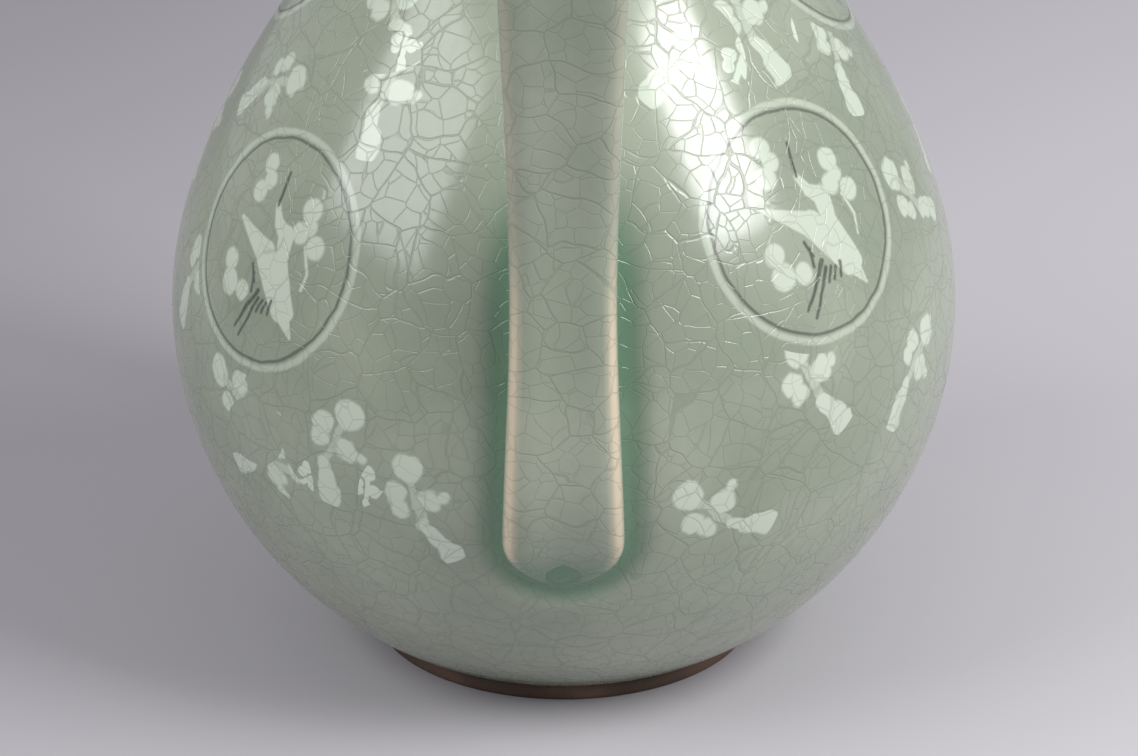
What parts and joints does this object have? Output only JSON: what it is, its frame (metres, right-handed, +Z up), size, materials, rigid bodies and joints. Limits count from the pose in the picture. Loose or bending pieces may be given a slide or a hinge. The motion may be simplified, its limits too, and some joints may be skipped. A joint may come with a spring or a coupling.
{
  "type": "double gourd ewer",
  "caption": "Celadon stoneware ewer of two stacked gourds with a strap handle, an S-shaped spout, a turned foot ring and a lift-off plugged lid.",
  "frame": {"origin": "middle of the foot ring's resting face, on the axis of the pot", "axes": "+Z up the axis of the pot, +Y towards the spout, -Y towards the handle"},
  "size_m": [0.17, 0.2079, 0.3204],
  "materials": {
    "glaze": "gloss crackle celadon glaze over inlaid slip",
    "bare_clay": "matt, unglazed reddish brown stoneware"
  },
  "bodies": {
    "ewer": {"foot_ring": "bare_clay", "lower_gourd": "glaze", "waist_lute": "glaze", "upper_gourd": "glaze", "mouth_collar": "glaze", "spout": "glaze", "handle": "glaze"},
    "lid": {"lid_cap": "glaze", "lid_plug": "bare_clay", "lid_stem": "glaze"}
  },
  "joints": [
    {"name": "lid_lift", "type": "slide", "parent": "ewer", "child": "lid", "axis": [0, 0, 1], "range_m": [0, 0.05]}
  ]
}
